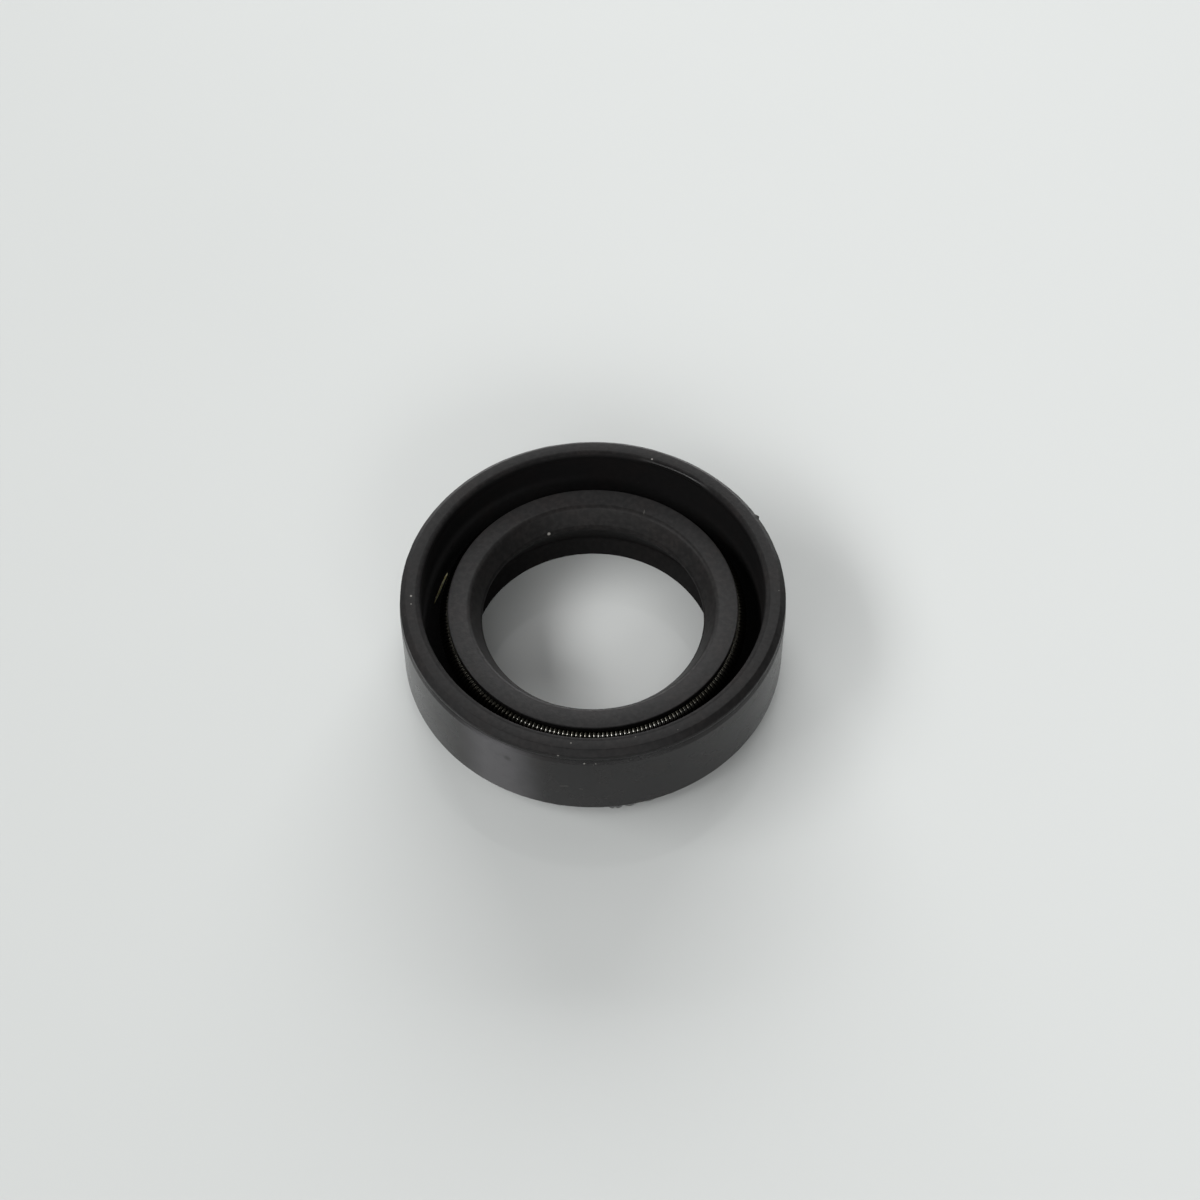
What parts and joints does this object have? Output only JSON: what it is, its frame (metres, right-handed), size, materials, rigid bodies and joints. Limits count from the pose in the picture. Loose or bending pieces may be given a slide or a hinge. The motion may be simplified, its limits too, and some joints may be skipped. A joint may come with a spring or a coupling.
{
  "type": "rotary shaft oil seal",
  "caption": "Rubber-covered rotary shaft seal ring with a spring-loaded main lip, a dust lip and a steel case ring moulded inside.",
  "frame": {"origin": "on the seal's axis, in the plane of the flat back face that it rests on", "axes": "+Z along the seal's axis, from the back face towards the rim and spring side; +X and +Y are square to it and equal, because the seal is round"},
  "size_m": [0.024, 0.024, 0.007],
  "materials": {
    "nitrile_rubber": "matt black moulded rubber, semi-gloss on the outside and in the cavity",
    "case_steel": "pressed carbon steel sheet, covered by the rubber",
    "spring_steel": "bright drawn spring wire, lightly oiled"
  },
  "bodies": {
    "root": {"seal_rubber": "nitrile_rubber", "case_ring": "case_steel", "garter_spring": "spring_steel"}
  },
  "joints": []
}
